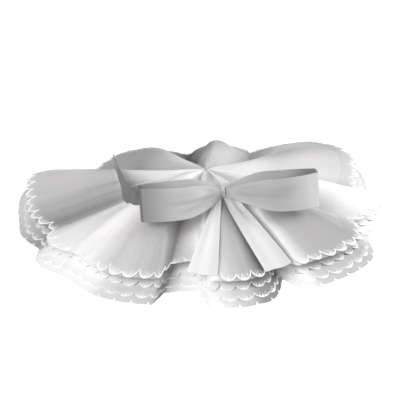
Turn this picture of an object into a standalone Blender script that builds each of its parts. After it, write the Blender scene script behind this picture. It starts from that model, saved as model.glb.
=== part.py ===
"""Ruffled mini skirt in its worn, flared pose with no wearer inside.

Two fluted tiers of cloth with scalloped lace edges, a ribbon sash standing on
edge round the hip, and a big bow with two tails in front. Metres, +Z up, the
front faces -Y, and the origin is the middle of the drawn-in waist opening.
"""

import math
from collections import namedtuple

import bmesh
import bpy
from mathutils import Vector

# Cloth and sewing
CLOTH = 0.0015
LACE = 0.0010
RIBBON = 0.0014
SEAM_GAP = 0.00035
SEAM_EASE_COLUMNS = 8

# Skirt sizes
WAIST_RADIUS = 0.005
GATHER_RADIUS = 0.012
LOWER_EXTRA_DROP = 0.034
LOWER_EXTRA_REACH = 0.014
LOWER_FOLD_EASE = 0.22
WIDEST_REACH = 0.35
KNEE = 0.16
SINK_RUN = 1.2
CREASE_SLOPE = 1.5

# Each fold line runs from the waist to the hem. Angles are in degrees from the
# front, towards the wearer's left (+X), at the waist and at the hem. reach is
# the radius of the scallop tips. Out to the hip radius the line only sinks a
# little, and beyond it the cloth falls by drop in all.
FoldLine = namedtuple("FoldLine", "kind waist_angle hem_angle reach hip sink drop")
FOLD_LINES = (
    FoldLine("crease", -113, -137, 0.262, 0.110, 0.032, 0.075),
    FoldLine("ridge", -101, -119, 0.352, 0.185, 0.000, 0.056),
    FoldLine("ridge", -93, -98, 0.332, 0.170, 0.004, 0.066),
    FoldLine("crease", -85, -84, 0.300, 0.130, 0.028, 0.066),
    FoldLine("hollow", -78, -78, 0.320, 0.135, 0.018, 0.072),
    FoldLine("hollow", -67, -64, 0.303, 0.165, 0.004, 0.066),
    FoldLine("ridge", -55, -48, 0.316, 0.145, 0.000, 0.065),
    FoldLine("ridge", -46, -32.5, 0.300, 0.130, 0.003, 0.065),
    FoldLine("crease", -40.5, -30.5, 0.242, 0.095, 0.038, 0.066),
    FoldLine("hollow", -32, -20, 0.230, 0.095, 0.036, 0.063),
    FoldLine("ridge", -21, -14, 0.294, 0.120, 0.003, 0.065),
    FoldLine("ridge", -8, -3, 0.299, 0.125, 0.000, 0.065),
    FoldLine("ridge", 1, 2.5, 0.294, 0.123, 0.002, 0.065),
    FoldLine("crease", 14, 13.5, 0.228, 0.095, 0.038, 0.062),
    FoldLine("ridge", 23, 17.5, 0.290, 0.125, 0.003, 0.065),
    FoldLine("ridge", 38, 44, 0.315, 0.145, 0.000, 0.065),
    FoldLine("crease", 53, 57, 0.282, 0.125, 0.028, 0.066),
    FoldLine("ridge", 66, 73, 0.337, 0.165, 0.000, 0.066),
    FoldLine("crease", 79, 85, 0.290, 0.135, 0.022, 0.066),
    FoldLine("ridge", 94, 112, 0.350, 0.200, -0.004, 0.058),
    FoldLine("crease", 116, 143, 0.262, 0.085, 0.038, 0.080),
    FoldLine("ridge", 154, 159, 0.275, 0.120, -0.012, 0.076),
    FoldLine("crease", 186, 173, 0.236, 0.068, 0.050, 0.080),
    FoldLine("ridge", 211, 203, 0.277, 0.135, -0.006, 0.070),
)
TURN_FROM_SHARE = 0.06
FRONT_RIDGE_LINE = 11
LEFT_SEAM_TURN = 17.5
RIGHT_SEAM_TURN = 2.5

# Rings of the tiers, as shares of the way from the waist to the scallop tips
UPPER_SHARES = (0.0, 0.02, 0.065, 0.14, 0.28, 0.44, 0.60, 0.76, 0.885, 0.935)
LOWER_SHARES = (0.44, 0.60, 0.76, 0.885, 0.972)
LOWER_TOP_SHARE = 0.44

# Lace rows: shares of the top edge, of a ring at the panel's hem, of the cusps
# between scallops and of the scallop tips
LaceRow = namedtuple("LaceRow", "name tier top hem cusp tip")
LACE_ROWS = (
    LaceRow("upper_hem_lace", "upper", 0.885, 0.935, 0.948, 1.000),
    LaceRow("lower_hem_lace", "lower", 0.885, 0.972, 0.991, 1.000),
)
SCALLOP_WIDTH = 0.036
COLUMNS_PER_SCALLOP = 3
HEM_STEPS_PER_FOLD = 24

# How a layer is moved off the cloth: the share step that gives the cloth's
# slope, and the least cosine allowed at a sharp crease
SLOPE_STEP = 0.01
SHARPEST_COSINE = 0.4

# Bow. Each loop is cut by stations from the knot outwards: x, then the front
# and rear layers at the top edge, then the heights of the foot and the top.
LoopStation = namedtuple("LoopStation", "out front rear foot top")
LOOP_STATIONS = {
    "bow_loop_left": (
        LoopStation(0.0048, -0.114, -0.106, 0.001, 0.015),
        LoopStation(0.030, -0.140, -0.118, -0.001, 0.035),
        LoopStation(0.060, -0.164, -0.130, -0.004, 0.049),
        LoopStation(0.085, -0.171, -0.136, -0.007, 0.0505),
        LoopStation(0.125, -0.171, -0.143, -0.008, 0.0515),
        LoopStation(0.157, -0.166, -0.150, -0.0085, 0.0515),
    ),
    "bow_loop_right": (
        LoopStation(0.0048, -0.114, -0.106, 0.001, 0.015),
        LoopStation(0.030, -0.135, -0.117, -0.001, 0.035),
        LoopStation(0.060, -0.152, -0.125, -0.003, 0.049),
        LoopStation(0.085, -0.158, -0.128, -0.004, 0.0515),
        LoopStation(0.125, -0.151, -0.127, -0.006, 0.0515),
        LoopStation(0.157, -0.139, -0.126, -0.008, 0.0505),
    ),
}
LOOP_ROW_SHARES = (0.0, 0.25, 0.5, 0.75, 1.0)
LOOP_LEAN = 0.014
LOOP_LEAN_HEIGHT = 0.06
BOW_KNOT = Vector((0.0, -0.1065, 0.008))
KNOT_HALF = Vector((0.0040, 0.0085, 0.0075))
KNOT_ROUNDING = 0.0028
KNOT_ROUNDING_STEPS = 2

# Bow tails, which start under the knot and lie out over the front ridges. A tail
# widens evenly where its widening is 1, and mostly near the knot where it is less.
TAIL_ENDS = {
    "bow_tail_right": Vector((-0.083, -0.269, 0.0)),
    "bow_tail_left": Vector((0.047, -0.282, 0.0)),
}
TAIL_WIDENING = {"bow_tail_right": 1.0, "bow_tail_left": 0.5}
TAIL_START = 0.0056
TAIL_TOP_WIDTH = 0.008
TAIL_END_WIDTH = 0.052
TAIL_STEPS = 10
TAIL_ROW_SIDES = (-0.5, 0, 0.5)
TAIL_FALL_SHARE = 0.25
TAIL_CLEARANCE = 0.0004

# Sash, as places in plan from behind the knot to its end at the back left
SASH_TOP = 0.0176
SASH_STEPS_PER_LEG = 6
SASH_SETTLED = 0.0002
SASH_ROW_SHARES = (0.0, 0.5, 1.0)
SASH_FOOT_SHARES = (-0.5, -0.35, -0.2, -0.1, 0.0, 0.1, 0.2, 0.35, 0.5)
SASH_PATH = (
    (0.070, -0.089),
    (0.0, -0.097),
    (-0.080, -0.093),
    (-0.140, -0.081),
    (-0.158, -0.068),
    (-0.161, 0.0),
    (-0.158, 0.078),
)

# Finding the cloth under a place: the first guess of the reach, then how often
# the place's share and its turn are narrowed down
FIRST_REACH = 0.32
SHARE_ROUNDS = 12
TURN_ROUNDS = 24

SHARP_EDGE = math.radians(40)
CLOTH_WHITE = (0.86, 0.86, 0.86, 1.0)
LACE_WHITE = (0.93, 0.93, 0.93, 1.0)
RIBBON_GREY = (0.74, 0.74, 0.74, 1.0)
CLOTH_ROUGHNESS = 0.75
LACE_ROUGHNESS = 0.8
RIBBON_ROUGHNESS = 0.45


def smooth(value):
    """0 below 0, 1 above 1 and an even S between."""
    value = min(max(value, 0.0), 1.0)
    return value * value * (3 - 2 * value)


def between(a, b, share):
    return a + (b - a) * share


def line_angle(number, share):
    """Angle of a fold line at a share of its length, in degrees, growing all the way round."""
    laps, index = divmod(number, len(FOLD_LINES))
    line = FOLD_LINES[index]
    turned = smooth((share - TURN_FROM_SHARE) / (1 - TURN_FROM_SHARE))
    return between(line.waist_angle, line.hem_angle, turned) + 360 * laps


def fold_share(start, end, part):
    """How far a fold has risen between two lines: steep at a crease, level at a ridge or hollow."""
    slope_a = CREASE_SLOPE if start.kind == "crease" else 0.0
    slope_b = CREASE_SLOPE if end.kind == "crease" else 0.0
    leaving = slope_a * (part**3 - 2 * part**2 + part)
    arriving = slope_b * (part**3 - part**2)
    return leaving + 3 * part**2 - 2 * part**3 + arriving


def line_radius(line, share):
    return between(WAIST_RADIUS, line.reach, share)


def knee(distance):
    """0 far before a bend, the distance itself far after it, rounded between."""
    return (distance + math.hypot(distance, KNEE)) / 2


def line_height(line, share):
    """Height of a fold line: level or sinking out to the hip, then falling to the hem."""
    hip_share = line.hip / line.reach
    fallen = (knee(share - hip_share) - knee(-hip_share)) / (knee(1 - hip_share) - knee(-hip_share))
    gathered = GATHER_RADIUS / line.reach
    sunk = smooth(max(share - gathered, 0.0) / (hip_share * SINK_RUN))
    return -line.sink * sunk * (1 - fallen) - line.drop * fallen


def upper_point(turn, share):
    """Middle of the upper tier's cloth. Turns count fold lines, shares run from the waist to the tips."""
    number = math.floor(turn)
    part = turn - number
    start = FOLD_LINES[number % len(FOLD_LINES)]
    end = FOLD_LINES[(number + 1) % len(FOLD_LINES)]
    risen = fold_share(start, end, part)
    angle = math.radians(between(line_angle(number, share), line_angle(number + 1, share), part))
    radius = between(line_radius(start, share), line_radius(end, share), risen)
    height = between(line_height(start, share), line_height(end, share), risen)
    return Vector((radius * math.sin(angle), -radius * math.cos(angle), height))


def scallop_turns():
    """Turns of the scallop cusps: every half fold holds whole scallops, as many as its hem is long."""
    turns = []
    for number in range(len(FOLD_LINES)):
        hem = [upper_point(number + i / HEM_STEPS_PER_FOLD, 1.0) for i in range(HEM_STEPS_PER_FOLD + 1)]
        length = sum((b - a).length for a, b in zip(hem, hem[1:]))
        count = max(1, round(length / SCALLOP_WIDTH))
        turns += [number + i / count for i in range(count)]
    return turns


def column_turns():
    """Turns of all columns round the skirt, with COLUMNS_PER_SCALLOP in each scallop."""
    cusps = scallop_turns()
    following = cusps[1:] + [cusps[0] + len(FOLD_LINES)]
    turns = []
    for cusp, next_cusp in zip(cusps, following):
        turns += [between(cusp, next_cusp, i / COLUMNS_PER_SCALLOP) for i in range(COLUMNS_PER_SCALLOP)]
    return turns


COLUMNS = column_turns()


def face_normal(a, b, c):
    return (b - a).cross(c - a).normalized()


def moved_out(points_at, column, share, distance):
    """The point moved off the cloth, that distance from the faces on both sides."""
    lap = len(FOLD_LINES)
    before = COLUMNS[column - 1] - (lap if column == 0 else 0)
    here = COLUMNS[column]
    after = COLUMNS[(column + 1) % len(COLUMNS)] + (lap if column == len(COLUMNS) - 1 else 0)
    point = points_at(here, share)
    outer = points_at(here, share + SLOPE_STEP)
    left = face_normal(point, outer, points_at(before, share)) * -1
    right = face_normal(point, outer, points_at(after, share))
    mean = (left + right).normalized()
    return point + mean * (distance / max(mean.dot(left), SHARPEST_COSINE))


def lower_point(turn, share):
    """The lower tier before it is hung: shallower folds that reach further and fall lower."""
    along = max(share - LOWER_TOP_SHARE, 0.0) / (1 - LOWER_TOP_SHARE)
    point = upper_point(turn, share)
    tip = upper_point(turn, 1.0)
    extra = LOWER_EXTRA_REACH + LOWER_FOLD_EASE * (WIDEST_REACH - math.hypot(tip.x, tip.y))
    outward = Vector((point.x, point.y, 0.0)).normalized()
    return point + outward * extra * along**2 - Vector((0, 0, LOWER_EXTRA_DROP * along**1.5))


def upper_grid_point(column, share, distance=0.0):
    return moved_out(upper_point, column, share, distance)


def lower_grid_point(column, share, distance=0.0):
    """A point on the lower tier, which hangs one cloth and a seam gap inside the upper tier."""
    return moved_out(lower_point, column, share, distance - CLOTH - SEAM_GAP)


GRID_POINT = {"upper": upper_grid_point, "lower": lower_grid_point}


def cloth_material(name, colour, roughness):
    material = bpy.data.materials.new(name)
    material.use_nodes = True
    shader = material.node_tree.nodes["Principled BSDF"]
    shader.inputs["Base Color"].default_value = colour
    shader.inputs["Roughness"].default_value = roughness
    shader.inputs["Metallic"].default_value = 0.0
    return material


def sheet_object(name, rows, material, thickness, closed=False):
    """A named sheet of cloth from rows of points, given its thickness by Solidify."""
    mesh = bpy.data.meshes.new(name)
    sheet = bmesh.new()
    grid = [[sheet.verts.new(point) for point in row] for row in rows]
    count = len(grid[0])
    for inner, outer in zip(grid, grid[1:]):
        for i in range(count if closed else count - 1):
            j = (i + 1) % count
            sheet.faces.new((inner[i], outer[i], outer[j], inner[j]))
    sheet.to_mesh(mesh)
    sheet.free()
    mesh.materials.append(material)
    piece = bpy.data.objects.new(name, mesh)
    bpy.data.collections["ruffled_mini_skirt"].objects.link(piece)
    wall = piece.modifiers.new("wall", "SOLIDIFY")
    wall.thickness = thickness
    wall.offset = 0.0
    wall.use_even_offset = True
    mesh.shade_smooth()
    mesh.set_sharp_from_angle(angle=SHARP_EDGE)
    return piece


def first_column_from(turn):
    return min(range(len(COLUMNS)), key=lambda i: abs(COLUMNS[i] - turn))


def panel(name, tier, shares, first, last, material):
    """A front or back panel between two seams, held off each seam by half the seam gap."""
    count = len(COLUMNS)
    if last < first:
        last += count
    columns = range(first, last + 1)
    rows = []
    for share in shares:
        row = [GRID_POINT[tier](i % count, share) for i in columns]
        eased = ease_from_seam(row)
        rows.append(ease_from_seam(eased[::-1])[::-1])
    return sheet_object(name, rows, material, CLOTH)


def ease_from_seam(row):
    """The row with its first points moved along it: half the seam gap at the end, less further in."""
    moved = list(row)
    for i in range(SEAM_EASE_COLUMNS):
        along = (row[i + 1] - row[i]).normalized()
        moved[i] = row[i] + along * SEAM_GAP / 2 * (1 - i / SEAM_EASE_COLUMNS)
    return moved


def lace_row(row, material):
    """One row of lace on the outside of its tier, with a scalloped lower edge."""
    distance = CLOTH / 2 + SEAM_GAP + LACE / 2
    point_at = GRID_POINT[row.tier]
    rows = []
    for share in (row.top, row.hem):
        rows.append([point_at(i, share, distance) for i in range(len(COLUMNS))])
    edge = []
    for i in range(len(COLUMNS)):
        bulge = math.sin(math.pi * (i % COLUMNS_PER_SCALLOP) / COLUMNS_PER_SCALLOP)
        edge.append(point_at(i, between(row.cusp, row.tip, bulge), distance))
    return sheet_object(row.name, rows + [edge], material, LACE, closed=True)


def ridge_height(x, y):
    """Height of a sheet lying over the front ridges, at a place in plan."""
    front = FOLD_LINES[FRONT_RIDGE_LINE]
    return line_height(front, math.hypot(x, y) / front.reach)


def turn_towards(degrees, share):
    """The turn whose fold runs through an angle in plan, at a share of the way out."""
    wanted = degrees
    while wanted < line_angle(0, share):
        wanted += 360
    low, high = 0.0, float(len(FOLD_LINES))
    for _ in range(TURN_ROUNDS):
        turn = (low + high) / 2
        number = math.floor(turn)
        here = between(line_angle(number, share), line_angle(number + 1, share), turn - number)
        low, high = (turn, high) if here < wanted else (low, turn)
    return turn


def cloth_height(x, y):
    """Height of the upper tier's cloth over a place in plan."""
    degrees = math.degrees(math.atan2(x, -y))
    radius = math.hypot(x, y)
    share = radius / FIRST_REACH
    for _ in range(SHARE_ROUNDS):
        turn = turn_towards(degrees, share)
        tip = upper_point(turn, 1.0)
        share = (radius - WAIST_RADIUS) / (math.hypot(tip.x, tip.y) - WAIST_RADIUS)
    return upper_point(turn, share).z


def bow_loop(name, side, material):
    """One loop of the bow: a ribbon that leaves the knot, turns at its end and comes back in front."""
    stations = LOOP_STATIONS[name]
    path = [(station, station.rear) for station in stations]
    path += [(station, station.front) for station in reversed(stations)]
    rows = []
    for station, y in path:
        row = []
        for v in LOOP_ROW_SHARES:
            lean = -LOOP_LEAN * (1 - v) * (station.top - station.foot) / LOOP_LEAN_HEIGHT
            row.append(Vector((side * station.out, y + lean, between(station.foot, station.top, v))))
        rows.append(row)
    if side < 0:
        rows = rows[::-1]
    return sheet_object(name, rows, material, RIBBON)


def bow_tail(name, material):
    """A tail of the bow: narrow at the knot, widening as it lies out over the ridges."""
    end = TAIL_ENDS[name]
    under_knot = -KNOT_HALF.z - SEAM_GAP - RIBBON / 2
    start = BOW_KNOT + Vector((math.copysign(TAIL_START, end.x), 0, under_knot))
    along = Vector((end.x - start.x, end.y - start.y, 0)).normalized()
    across = Vector((-along.y, along.x, 0))
    over_cloth = CLOTH / 2 + SEAM_GAP + RIBBON / 2 + TAIL_CLEARANCE
    rows = []
    for i in range(TAIL_STEPS + 1):
        out = i / TAIL_STEPS
        width = between(TAIL_TOP_WIDTH, TAIL_END_WIDTH, out ** TAIL_WIDENING[name])
        row = []
        for side in TAIL_ROW_SIDES:
            x = between(start.x, end.x, out) + across.x * width * side
            y = between(start.y, end.y, out) + across.y * width * side
            rest = ridge_height(x, y) + over_cloth
            row.append(Vector((x, y, max(rest, between(start.z, rest, smooth(out / TAIL_FALL_SHARE))))))
        rows.append(row)
    return sheet_object(name, rows, material, RIBBON)


def bow_knot(material):
    """The wrap that pinches the bow: a small rounded block of ribbon."""
    bpy.ops.mesh.primitive_cube_add(size=2, location=BOW_KNOT)
    knot = bpy.context.active_object
    knot.name = "bow_knot"
    knot.data.name = "bow_knot"
    knot.scale = KNOT_HALF
    bpy.ops.object.transform_apply(location=False, rotation=False, scale=True)
    edges = knot.modifiers.new("soft_edges", "BEVEL")
    edges.width = KNOT_ROUNDING
    edges.segments = KNOT_ROUNDING_STEPS
    knot.data.materials.append(material)
    for collection in list(knot.users_collection):
        collection.objects.unlink(knot)
    bpy.data.collections["ruffled_mini_skirt"].objects.link(knot)
    return knot


def curve_through(places, steps_per_leg):
    """Points on a smooth curve through the given places."""
    points = [Vector((x, y, 0)) for x, y in places]
    curve = []
    for k in range(len(points) - 1):
        before = points[max(k - 1, 0)]
        a, b = points[k], points[k + 1]
        after = points[min(k + 2, len(points) - 1)]
        for i in range(steps_per_leg):
            t = i / steps_per_leg
            squared = (2 * before - 5 * a + 4 * b - after) * t**2
            cubed = (3 * a - before - 3 * b + after) * t**3
            curve.append((2 * a + (b - before) * t + squared + cubed) / 2)
    curve.append(points[-1])
    return curve


def sash(material):
    """The ribbon that stands on edge round the hip, its lower edge cut to the folds it crosses."""
    curve = curve_through(SASH_PATH, SASH_STEPS_PER_LEG)
    clearance = CLOTH / 2 + SEAM_GAP - SASH_SETTLED
    rows = []
    for i, place in enumerate(curve):
        ahead = curve[min(i + 1, len(curve) - 1)] - curve[max(i - 1, 0)]
        across = Vector((-ahead.y, ahead.x, 0)).normalized() * RIBBON
        steps = [ahead * share for share in SASH_FOOT_SHARES]
        places = [place + step + side for step in steps for side in (-across, across)]
        foot = max(cloth_height(spot.x, spot.y) for spot in places) + clearance
        rows.append([Vector((place.x, place.y, between(foot, SASH_TOP, v))) for v in SASH_ROW_SHARES])
    return sheet_object("sash", rows, material, RIBBON)


def main():
    for old in list(bpy.data.objects):
        bpy.data.objects.remove(old, do_unlink=True)
    skirt = bpy.data.collections.new("ruffled_mini_skirt")
    bpy.context.scene.collection.children.link(skirt)

    cloth = cloth_material("white_cloth", CLOTH_WHITE, CLOTH_ROUGHNESS)
    lace = cloth_material("white_lace", LACE_WHITE, LACE_ROUGHNESS)
    ribbon = cloth_material("satin_ribbon", RIBBON_GREY, RIBBON_ROUGHNESS)

    left = first_column_from(LEFT_SEAM_TURN)
    right = first_column_from(RIGHT_SEAM_TURN)
    for tier, shares in (("upper", UPPER_SHARES), ("lower", LOWER_SHARES)):
        panel(f"{tier}_front_panel", tier, shares, right, left, cloth)
        panel(f"{tier}_back_panel", tier, shares, left, right, cloth)
    for row in LACE_ROWS:
        lace_row(row, lace)
    bow_loop("bow_loop_left", 1, ribbon)
    bow_loop("bow_loop_right", -1, ribbon)
    bow_knot(ribbon)
    for name in TAIL_ENDS:
        bow_tail(name, ribbon)
    sash(ribbon)


main()
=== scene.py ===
import math

import bpy
import numpy as np
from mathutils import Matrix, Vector


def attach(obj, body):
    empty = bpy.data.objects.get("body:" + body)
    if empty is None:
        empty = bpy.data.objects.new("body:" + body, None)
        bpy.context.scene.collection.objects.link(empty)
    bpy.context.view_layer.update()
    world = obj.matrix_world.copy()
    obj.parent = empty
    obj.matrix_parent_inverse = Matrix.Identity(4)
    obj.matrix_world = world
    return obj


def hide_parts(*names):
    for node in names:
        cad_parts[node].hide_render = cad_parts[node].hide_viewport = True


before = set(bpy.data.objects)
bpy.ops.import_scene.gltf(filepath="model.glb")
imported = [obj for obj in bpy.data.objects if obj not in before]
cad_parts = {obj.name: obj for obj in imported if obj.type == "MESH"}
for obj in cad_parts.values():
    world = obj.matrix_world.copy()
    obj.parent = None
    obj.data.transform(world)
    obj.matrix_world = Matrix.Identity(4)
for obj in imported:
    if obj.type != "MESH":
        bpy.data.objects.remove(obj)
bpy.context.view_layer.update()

bpy.ops.object.select_all(action="DESELECT")

# A fluted two-tier skirt with scalloped lace hems, a hip sash and a front bow.
# Metres, +Z up, the front faces -Y. Turns count the fold lines round the
# skirt, shares run from the waist (0) to the scallop tips (1).

# The fold lines: kind, angle at the waist, angle at the hem, reach, hip
# radius, sink and drop.
foldTable = [
    ("crease", -113, -137, 0.262, 0.110, 0.032, 0.075),
    ("ridge", -101, -119, 0.352, 0.185, 0.000, 0.056),
    ("ridge", -93, -98, 0.332, 0.170, 0.004, 0.066),
    ("crease", -85, -84, 0.300, 0.130, 0.028, 0.066),
    ("hollow", -78, -78, 0.320, 0.135, 0.018, 0.072),
    ("hollow", -67, -64, 0.303, 0.165, 0.004, 0.066),
    ("ridge", -55, -48, 0.316, 0.145, 0.000, 0.065),
    ("ridge", -46, -32.5, 0.300, 0.130, 0.003, 0.065),
    ("crease", -40.5, -30.5, 0.242, 0.095, 0.038, 0.066),
    ("hollow", -32, -20, 0.230, 0.095, 0.036, 0.063),
    ("ridge", -21, -14, 0.294, 0.120, 0.003, 0.065),
    ("ridge", -8, -3, 0.299, 0.125, 0.000, 0.065),
    ("ridge", 1, 2.5, 0.294, 0.123, 0.002, 0.065),
    ("crease", 14, 13.5, 0.228, 0.095, 0.038, 0.062),
    ("ridge", 23, 17.5, 0.290, 0.125, 0.003, 0.065),
    ("ridge", 38, 44, 0.315, 0.145, 0.000, 0.065),
    ("crease", 53, 57, 0.282, 0.125, 0.028, 0.066),
    ("ridge", 66, 73, 0.337, 0.165, 0.000, 0.066),
    ("crease", 79, 85, 0.290, 0.135, 0.022, 0.066),
    ("ridge", 94, 112, 0.350, 0.200, -0.004, 0.058),
    ("crease", 116, 143, 0.262, 0.085, 0.038, 0.080),
    ("ridge", 154, 159, 0.275, 0.120, -0.012, 0.076),
    ("crease", 186, 173, 0.236, 0.068, 0.050, 0.080),
    ("ridge", 211, 203, 0.277, 0.135, -0.006, 0.070),
]
lineCount = len(foldTable)
isCrease = np.array([row[0] == "crease" for row in foldTable])
waistAngle, hemAngle, reach, hip, sink, drop = np.array([row[1:] for row in foldTable]).T
# The painted light and shade of the cloth round the skirt, near the waist and then further out: turn, painted
# tone. Flanks are painted light and creases painted dark, and the two flanks of a crease differ, so some
# stops lie close together.
waistPaintedShading = np.array([
    (0.0, 0.62), (0.15, 0.94), (2.0, 0.94), (2.8, 0.74), (3.0, 0.62), (3.2, 0.82), (5.0, 1.02),
    (6.0, 1.02), (6.5, 0.82), (7.4, 0.60), (8.6, 0.50), (8.9, 0.60), (9.2, 1.04), (10.0, 0.94),
    (10.6, 0.76), (12.6, 0.52), (12.95, 0.84), (13.2, 1.04), (14.1, 1.02), (14.25, 0.66),
    (15.3, 0.70), (16.0, 0.80), (16.8, 1.02), (17.6, 0.92), (17.85, 0.66), (18.1, 0.84),
    (19.0, 0.86), (19.6, 0.80), (19.95, 0.50), (20.2, 0.58), (21.0, 0.70), (21.3, 0.68),
    (21.6, 0.48), (22.0, 0.30), (22.3, 0.42), (22.8, 0.56), (23.0, 0.80), (23.4, 0.66), (24.0, 0.56),
]).T
foldPaintedShading = np.array([
    (0.0, 0.60), (1.0, 0.84), (2.0, 0.66), (2.85, 0.32), (3.1, 0.55), (3.5, 0.95), (4.0, 1.08),
    (5.0, 1.16), (5.4, 1.10), (6.0, 0.70), (7.0, 0.54), (7.85, 0.36), (8.1, 0.66), (9.0, 1.14),
    (10.0, 1.00), (10.6, 0.66), (11.0, 0.54), (11.5, 0.40), (12.0, 0.26), (12.8, 0.14),
    (13.05, 0.90), (13.5, 1.12), (14.0, 0.92), (14.25, 0.52), (15.0, 0.40), (15.8, 0.54),
    (16.1, 0.84), (17.0, 1.10), (17.7, 1.06), (17.95, 0.58), (18.2, 0.68), (18.6, 0.60),
    (19.0, 0.48), (19.7, 0.52), (20.0, 0.40), (20.5, 0.62), (21.0, 0.48), (21.5, 0.28),
    (22.0, 0.14), (22.4, 0.36), (23.0, 0.54), (24.0, 0.60),
]).T

skirt = {
    "waistRadius": 0.005,
    "gatherRadius": 0.012,
    "sinkOver": 1.2,           # a crease is fully sunk this far past the hip, in hip shares
    "turnFrom": 0.06,          # past this share the folds swing towards their hem angles
    "knee": 0.16,
    "creaseSlope": 1.5,
    "creaseRound": 0.035,      # how soft the bottom of a crease is, in turns
    "slant": 0.30,             # waist to scallop tips along the cloth, near enough
    "clothWall": 0.0007,
    "tierGap": 0.00185,        # the lower tier hangs this far inside the upper one
    "lowerTop": 0.44,
    "lowerDrop": 0.034,
    "lowerReach": 0.014,
    "lowerEase": 0.22,
    "widest": 0.35,
    "seamTurns": (2.5, 17.5),
    "seamGap": 0.0004,
    "probeTurn": 0.004,        # steps used to find the cloth's slope
    "probeShare": 0.002,
}
# Painted light and shade on the cloth: where the waist's stops give way to the folds', and painted light on
# the lower tier
clothPaintedShading = {
    "outerFrom": 0.22,         # the waist's tones give way to the outer ones from here
    "outerOver": 0.24,
    "lowerPaintedLight": 1.18,
    "underHemPaintedLight": 0.24,
    "underHem": 0.885,         # the upper hem hangs over the lower tier down to here
    "underHemFade": 0.06,
    "brightest": 1.12,
}


def smooth(value):
    value = np.clip(value, 0, 1)
    return value * value * (3 - 2 * value)


def between(a, b, share):
    return a + (b - a) * share


def softened(part):
    # the way up from a crease, with its bottom rounded
    width = skirt["creaseRound"]
    return (np.sqrt(part * part + width * width) - width) / (math.sqrt(1 + width * width) - width)


def lineAngle(number, share):
    turned = smooth((share - skirt["turnFrom"]) / (1 - skirt["turnFrom"]))
    index = number % lineCount
    return between(waistAngle[index], hemAngle[index], turned) + 360 * (number // lineCount)


def lineHeight(index, share):
    # nearly level out to the hip, then falling to the hem round a soft knee
    def knee(distance):
        return (distance + np.hypot(distance, skirt["knee"])) / 2
    hipShare = hip[index] / reach[index]
    fallen = (knee(share - hipShare) - knee(-hipShare)) / (knee(1 - hipShare) - knee(-hipShare))
    gathered = skirt["gatherRadius"] / reach[index]
    sunk = smooth(np.maximum(share - gathered, 0) / (hipShare * skirt["sinkOver"]))
    return -sink[index] * sunk * (1 - fallen) - drop[index] * fallen


def foldRise(start, end, part):
    # how far a fold has risen between two lines: steep at a crease, level at a ridge
    part = np.where(isCrease[start], softened(part), part)
    part = np.where(isCrease[end], 1 - softened(1 - part), part)
    slopeA = skirt["creaseSlope"] * isCrease[start]
    slopeB = skirt["creaseSlope"] * isCrease[end]
    bend = 3 * part**2 - 2 * part**3
    return slopeA * (part**3 - 2 * part**2 + part) + bend + slopeB * (part**3 - part**2)


def upperPoint(turn, share):
    turn, share = np.broadcast_arrays(np.asarray(turn, float), np.asarray(share, float))
    number = np.floor(turn).astype(int)
    part = turn - number
    start, end = number % lineCount, (number + 1) % lineCount
    risen = foldRise(start, end, part)
    angle = np.radians(between(lineAngle(number, share), lineAngle(number + 1, share), part))
    tip = between(reach[start], reach[end], risen)
    radius = between(skirt["waistRadius"], tip, share)
    height = between(lineHeight(start, share), lineHeight(end, share), risen)
    return np.stack([radius * np.sin(angle), -radius * np.cos(angle), height], -1)


def lowerPoint(turn, share):
    along = np.maximum(share - skirt["lowerTop"], 0) / (1 - skirt["lowerTop"])
    point = upperPoint(turn, share)
    tip = upperPoint(turn, np.ones_like(share))
    tipRadius = np.hypot(tip[..., 0], tip[..., 1])
    extra = skirt["lowerReach"] + skirt["lowerEase"] * (skirt["widest"] - tipRadius)
    flat = point * [1, 1, 0]
    outward = flat / np.linalg.norm(flat, axis=-1, keepdims=True)
    fall = np.stack([0 * along, 0 * along, skirt["lowerDrop"] * along**1.5], -1)
    return point + outward * (extra * along**2)[..., None] - fall


# Creases listed one by one: turn where it starts, turn where it ends, share at its top and foot, half width
# in turns, and depth (a ridge where it is negative).
creases = [
    (1.35, 1.20, 0.42, 0.98, 0.16, 0.0009), (1.75, 1.85, 0.30, 0.90, 0.14, 0.0006),
    (2.35, 2.20, 0.50, 1.05, 0.15, -0.0008), (4.40, 4.55, 0.35, 1.05, 0.16, 0.0018),
    (5.45, 5.30, 0.20, 0.85, 0.14, 0.0014), (5.95, 6.10, 0.45, 1.05, 0.10, -0.0014),
    (6.40, 6.45, 0.30, 1.00, 0.09, 0.0013), (6.75, 6.72, 0.55, 1.05, 0.07, 0.0009),
    (7.35, 7.30, 0.35, 0.95, 0.10, -0.0011), (9.55, 9.62, 0.40, 1.05, 0.12, 0.0013),
    (10.30, 10.38, 0.30, 0.85, 0.12, 0.0010), (11.20, 11.25, 0.50, 1.05, 0.12, -0.0010),
    (12.35, 12.30, 0.35, 0.95, 0.10, 0.0010), (13.60, 13.70, 0.35, 1.05, 0.12, 0.0013),
    (14.35, 14.30, 0.25, 0.95, 0.10, 0.0015), (14.70, 14.76, 0.45, 1.05, 0.09, -0.0012),
    (15.30, 15.36, 0.40, 0.90, 0.12, 0.0015), (16.60, 16.52, 0.35, 1.00, 0.12, 0.0013),
    (17.30, 17.42, 0.45, 1.05, 0.10, -0.0011), (18.55, 18.45, 0.30, 1.00, 0.10, 0.0019),
    (18.85, 18.80, 0.50, 1.05, 0.07, -0.0012), (19.30, 19.20, 0.35, 0.95, 0.10, 0.0016),
    (19.70, 19.75, 0.25, 0.80, 0.08, 0.0013), (20.45, 20.55, 0.35, 1.05, 0.12, 0.0016),
    (20.85, 20.80, 0.50, 1.00, 0.07, -0.0012), (21.40, 21.30, 0.30, 0.95, 0.10, 0.0015),
    (22.45, 22.60, 0.30, 1.05, 0.14, 0.0018), (22.90, 22.85, 0.50, 0.95, 0.08, -0.0011),
    (23.35, 23.30, 0.35, 1.00, 0.10, 0.0016), (23.70, 23.80, 0.45, 1.05, 0.08, -0.0012),
]


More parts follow.
